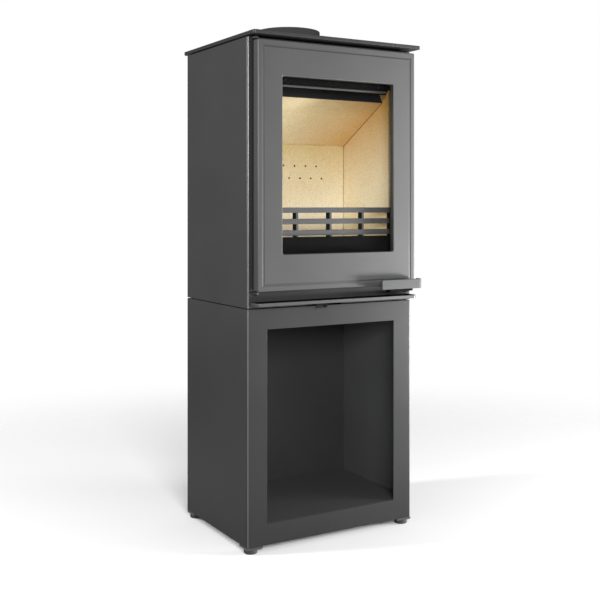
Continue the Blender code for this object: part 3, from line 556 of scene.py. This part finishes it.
# ---------------------------------------------------------------- door casting
def make_door():
    """The door's face: rounded rims, a soft groove round the edge, and the window's reveal."""
    low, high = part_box("door_frame")
    plate_back = DOOR_FRONT + 12 * MM
    groove_in, groove_width, groove_deep = 10 * MM, 6 * MM, 0.5 * MM
    edge = 2 * MM               # radius of the front edges
    chamfer = 0.4 * MM          # of the rear edges
    rim = 8 * MM                # the wall that stands round the back of the plate
    outer_corner, inner_corner, window_corner = 3 * MM, 1 * MM, 4 * MM

    def from_edge(inset, depth, radius):
        return (low.x + inset, high.x - inset, low.z + inset, high.z - inset, radius, depth)

    def from_window(outset, depth):
        half = WINDOW_HALF_WIDTH + outset
        return (-half, half, WINDOW_LOW - outset, WINDOW_HIGH + outset, window_corner + outset, depth)

    quarter = [math.radians(22.5 * step) for step in range(5)]
    rings = []
    for turn in quarter:
        depth = DOOR_FRONT + edge * (1 - math.sin(turn))
        rings.append(from_edge(edge * (1 - math.cos(turn)), depth, outer_corner))
    for step in range(9):
        share = step / 8
        dip = groove_deep * math.sin(math.pi * share)
        rings.append(from_edge(groove_in + groove_width * share, DOOR_FRONT + dip, inner_corner))
    for turn in quarter:
        depth = DOOR_FRONT + edge * (1 - math.cos(turn))
        rings.append(from_window(edge * (1 - math.sin(turn)), depth))
    rings.append(from_window(0, plate_back - chamfer))
    rings.append(from_window(chamfer, plate_back))
    rings.append(from_edge(rim, plate_back, inner_corner))
    rings.append(from_edge(rim, DOOR_BACK - chamfer, inner_corner))
    rings.append(from_edge(rim - chamfer, DOOR_BACK, inner_corner))
    rings.append(from_edge(chamfer, DOOR_BACK, outer_corner))
    rings.append(from_edge(0, DOOR_BACK - chamfer, outer_corner))

    bm = bmesh.new()
    loops = []
    for left, right, bottom, top, radius, depth in rings:
        outline = rounded_rectangle(left, right, bottom, top, radius)
        loops.append([bm.verts.new((x, depth, z)) for x, z in outline])
    bridge(bm, loops, True)
    door = new_piece("door_casting", bm, DOOR_PAINT, "door", sharp=40)
    # The groove's faces take the darker paint: painted shade in the recess.
    door.data.materials.append(GROOVE_SHADE_PAINT)
    for face in door.data.polygons:
        if DOOR_FRONT + 0.01 * MM < face.center.y < DOOR_FRONT + groove_deep:
            nearest = min(
                face.center.x - low.x, high.x - face.center.x,
                face.center.z - low.z, high.z - face.center.z,
            )
            if groove_in < nearest < groove_in + groove_width:
                face.material_index = 1
    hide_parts("door_frame")


# ---------------------------------------------------------------- airwash deflector
def make_airwash():
    """A sheet above the glass with a rolled hem along its lower edge: the sheet near black, painted
    shade, and the hem lighter, a painted highlight.
    """
    low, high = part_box("airwash_deflector")
    sheet = 2 * MM
    hem = 2.4 * MM              # radius of the roll
    hem_top = low.z + 2 * hem
    corner = 1 * MM
    profile = [(high.y, high.z), (high.y - sheet, high.z), (high.y - sheet, hem_top + 2 * MM)]
    profile += arc((low.y + hem, low.z + hem), hem, 70, 270, 10)
    profile += [(high.y - corner, low.z), (high.y, low.z + corner)]
    bm = bmesh.new()
    ends = [[bm.verts.new((x, y, z)) for y, z in profile] for x in (low.x, high.x)]
    bridge(bm, ends, False)
    bm.faces.new(ends[0])
    bm.faces.new(ends[1])
    deflector = new_piece(
        "airwash_plate", bm, BLACK_SHADE_PAINT, "cabinet", sharp=50
    )
    # The hem takes the lighter paint: a painted highlight.
    deflector.data.materials.append(HEM_HIGHLIGHT_PAINT)
    for face in deflector.data.polygons:
        if face.center.z < hem_top and face.normal.y < 0.2:
            face.material_index = 1
    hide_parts("airwash_deflector")


# ---------------------------------------------------------------- flue collar
def make_collar():
    """The cast collar: a short spigot for the flue pipe on a thin flange."""
    low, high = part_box("flue_collar")
    centre = middle("flue_collar")
    outer = 75 * MM             # radius, for a 150 mm pipe
    bore = outer - 4 * MM
    flange = (high.x - low.x) / 2
    shoulder = low.z + 5.4 * MM
    profile = rounded_profile(
        [
            (bore, high.z),
            (outer, high.z),
            (outer, shoulder),
            (flange, shoulder),
            (flange, low.z),
            (bore, low.z),
        ],
        radius=1.2 * MM,
    )
    collar = turned(
        "flue_collar_cast", profile, centre, COLLAR_PAINT, "cabinet", sides=128
    )
    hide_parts("flue_collar")


# ---------------------------------------------------------------- rope seal
def make_rope_seal():
    """A round rope laid in the door's channel, pressed a little flat, with a braided skin."""
    low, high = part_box("door_seal")
    half_wide = 4 * MM
    half_deep = (high.y - low.y) / 2
    centre_y = middle("door_seal").y
    bend = 14 * MM              # radius of its path round the corners
    spacing = 3 * MM            # between rings along the straight runs
    fill = 0.98                 # its share of the node's width and depth
    swelling = 0.035            # of every other ring, for the braid
    outline = rounded_rectangle(
        low.x + half_wide, high.x - half_wide, low.z + half_wide, high.z - half_wide,
        bend, steps=8,
    )
    path = []
    for start, end in zip(outline, outline[1:] + outline[:1]):
        run = (Vector(end) - Vector(start)).length
        pieces = max(1, round(run / spacing))
        for piece in range(pieces):
            path.append(Vector(start).lerp(Vector(end), piece / pieces))
    bm = bmesh.new()
    sides = 12
    rings = []
    for index, point in enumerate(path):
        along = path[(index + 1) % len(path)] - path[index - 1]
        along.normalize()
        across = Vector((along.y, -along.x))
        thickness = fill * (1 + swelling * math.cos(index * math.pi)) / (1 + swelling)
        ring = []
        for side in range(sides):
            angle = 2 * math.pi * side / sides
            spot = point + across * half_wide * thickness * math.cos(angle)
            depth = centre_y + half_deep * thickness * math.sin(angle)
            ring.append(bm.verts.new((spot.x, depth, spot.y)))
        rings.append(ring)
    bridge(bm, rings, True)
    seal = new_piece("door_rope", bm, ROPE, "door", sharp=60)
    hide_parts("door_seal")


# ---------------------------------------------------------------- screws
def screw(name, spot, out, radius, height, material, body, hexagon=True):
    """A screw head on a washer: a hexagon with a domed top, or a button head with a socket.

    Each level is a share of the radius, a height, and whether its outline is a hexagon.
    """
    out = Vector(out)
    turn = Vector((0, 0, 1)).rotation_difference(out).to_matrix()
    bm = bmesh.new()
    washer_high = height * 0.22
    flats_reach = 0.9           # a flat's distance from the axis, as a share of its level's radius
    sixth = math.pi / 3
    levels = [(1.25, 0.0, False), (1.25, washer_high * 0.8, False), (1.18, washer_high, False)]
    if hexagon:
        levels += [
            (0.98, washer_high, True), (0.98, height * 0.85, True), (0.86, height, False),
            (0.45, height * 0.99, False), (0.40, height * 0.86, False),
        ]
    else:
        levels += [
            (0.95, washer_high, False), (0.93, height * 0.55, False), (0.75, height * 0.88, False),
            (0.48, height, False), (0.42, height, False), (0.40, height * 0.45, False),
        ]
    sides = 24
    rings = []
    for share, level, flats in levels:
        ring = []
        for side in range(sides):
            angle = 2 * math.pi * side / sides
            reach = radius * share
            if flats:
                folded = (angle + sixth / 2) % sixth - sixth / 2
                reach *= flats_reach / math.cos(folded)
            local = Vector((reach * math.cos(angle), reach * math.sin(angle), level))
            ring.append(bm.verts.new(Vector(spot) + turn @ local))
        rings.append(ring)
    bridge(bm, rings, False)
    bm.faces.new(rings[0])
    bm.faces.new(rings[-1])
    return new_piece(name, bm, material, body)


def screw_rows(kind, node, inset, shares):
    """Two upright rows of hexagon screws on the back of a panel, at shares of its height."""
    low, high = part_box(node)
    number = 0
    for x in (low.x + inset, high.x - inset):
        for share in shares:
            number += 1
            screw(
                f"{kind}_screw_{number}", (x, high.y, low.z + (high.z - low.z) * share),
                (0, 1, 0), 4.2 * MM, 3.2 * MM, ZINC, "cabinet",
            )


def make_screws():
    """The screws of the heat shield, the back panel, the airwash sheet and the glass clamps."""
    screw_rows("shield", "rear_heat_shield", 8 * MM, (0.04, 0.35, 0.65, 0.96))
    screw_rows("panel", "lower_back_panel", 12 * MM, (0.06, 0.5, 0.94))
    airwash_x, airwash_z = 122 * MM, 995 * MM
    clear_of_glass = 3 * MM     # outwards from the middle of each clamp
    for side, sign in (("left", -1), ("right", 1)):
        screw(
            f"airwash_screw_{side}", (sign * airwash_x, FRONT, airwash_z),
            (0, -1, 0), 3.6 * MM, 2.6 * MM, BLACK_STEEL, "cabinet", hexagon=False,
        )
        low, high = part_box(f"glass_clamp_{side}")
        x = (low.x + high.x) / 2 + sign * clear_of_glass
        for place, share in (("low", 0.08), ("high", 0.92)):
            screw(
                f"clamp_screw_{side}_{place}", (x, high.y, low.z + (high.z - low.z) * share),
                (0, 1, 0), 4.0 * MM, 2.8 * MM, ZINC, "door", hexagon=False,
            )


make_door()
make_airwash()
make_collar()
make_rope_seal()
make_screws()


# ---------------------------------------------------------------- floor, light, camera
def make_stage():
    """A pale floor that fades into the white surround."""
    half_size = 3.0                         # metres
    fade_start, fade_end = 0.45, 1.9        # metres from the stove's middle
    bm = bmesh.new()
    bmesh.ops.create_grid(bm, x_segments=1, y_segments=1, size=half_size)
    mesh = bpy.data.meshes.new("studio_floor")
    bm.to_mesh(mesh)
    bm.free()
    nodes = Nodes("pale_floor")
    tone = nodes.noise(0.7, 2.0)
    reach = nodes.add("ShaderNodeVectorMath")
    reach.operation = "LENGTH"
    nodes.link(nodes.place, reach.inputs[0])
    fade = nodes.add(
        "ShaderNodeMapRange", From_Min=fade_start, From_Max=fade_end, To_Min=1.0, To_Max=0.0
    )
    fade.interpolation_type = "SMOOTHSTEP"
    nodes.link(reach.outputs["Value"], fade.inputs["Value"])
    nodes.link(fade.outputs["Result"], nodes.shader.inputs["Alpha"])
    nodes.finish(
        nodes.ramp(tone, [(0.3, grey(0.88)), (0.7, grey(0.90))]), nodes.spread(tone, 0.7, 0.8)
    )
    mesh.materials.append(nodes.material)
    floor = bpy.data.objects.new("studio_floor", mesh)
    scene.collection.objects.link(floor)


def area_light(name, place, target, size, power):
    """A white softbox at a place, aimed at a target: its width and height, and watts."""
    data = bpy.data.lights.new(name, "AREA")
    data.shape = "RECTANGLE"
    data.size, data.size_y = size
    data.energy = power
    light = bpy.data.objects.new(name, data)
    light.location = place
    aim = Vector(target) - Vector(place)
    light.rotation_euler = aim.to_track_quat("-Z", "Y").to_euler()
    scene.collection.objects.link(light)


def make_world(front, rear, backdrop):
    """A white surround whose light fades from the front to the rear of the stove.

    The camera sees it at the backdrop's strength in every direction.
    """
    world = bpy.data.worlds.new("studio_surround")
    scene.world = world
    world.use_nodes = True
    tree = world.node_tree
    shade = tree.nodes["Background"]
    shade.inputs["Color"].default_value = (1, 1, 1, 1)
    path = tree.nodes.new("ShaderNodeLightPath")
    place = tree.nodes.new("ShaderNodeTexCoord")
    parts = tree.nodes.new("ShaderNodeSeparateXYZ")
    level = tree.nodes.new("ShaderNodeMapRange")
    level.inputs["From Min"].default_value = -1     # a direction's Y straight ahead of the stove
    level.inputs["To Min"].default_value = front
    level.inputs["To Max"].default_value = rear
    spread = tree.nodes.new("ShaderNodeMapRange")
    spread.inputs["To Max"].default_value = backdrop
    tree.links.new(place.outputs["Generated"], parts.inputs["Vector"])
    tree.links.new(parts.outputs["Y"], level.inputs["Value"])
    tree.links.new(level.outputs["Result"], spread.inputs["To Min"])
    tree.links.new(path.outputs["Is Camera Ray"], spread.inputs["Value"])
    tree.links.new(spread.outputs["Result"], shade.inputs["Strength"])


def make_camera():
    """A level camera with an upright 27 x 36 mm frame, shifted down as a view camera is."""
    data = bpy.data.cameras.new("photo_camera")
    data.sensor_fit = "VERTICAL"
    data.sensor_width, data.sensor_height = 27.0, 36.0
    data.lens = 58.23
    data.shift_y = -0.1559
    data.clip_start, data.clip_end = 0.05, 100.0
    camera = bpy.data.objects.new("photo_camera", data)
    left_of_middle, ahead_of_front, eye_height = 1.1349, 1.7887, 0.7252     # metres
    heading = math.radians(-30.45)
    camera.location = (-left_of_middle, FRONT - ahead_of_front, eye_height)
    camera.rotation_euler = (math.pi / 2, 0, heading)
    scene.collection.objects.link(camera)
    scene.camera = camera


make_stage()
make_world(0.50, 0.25, 1.0)
area_light("key_softbox", (1.95, -1.10, 0.14), (0, 0, 0.58), (0.6, 0.28), 94)
area_light("high_softbox", (1.75, -1.45, 1.00), (0, 0, 0.85), (0.8, 0.9), 26)
area_light("left_softbox", (-2.2, 0.7, 1.4), (-0.2, 0, 0.9), (0.3, 1.1), 44)
area_light("front_softbox", (-1.0, -2.5, 1.2), (0, 0, 0.75), (0.9, 0.7), 84)
make_camera()
scene.view_settings.view_transform = "Standard"
scene.view_settings.look = "None"
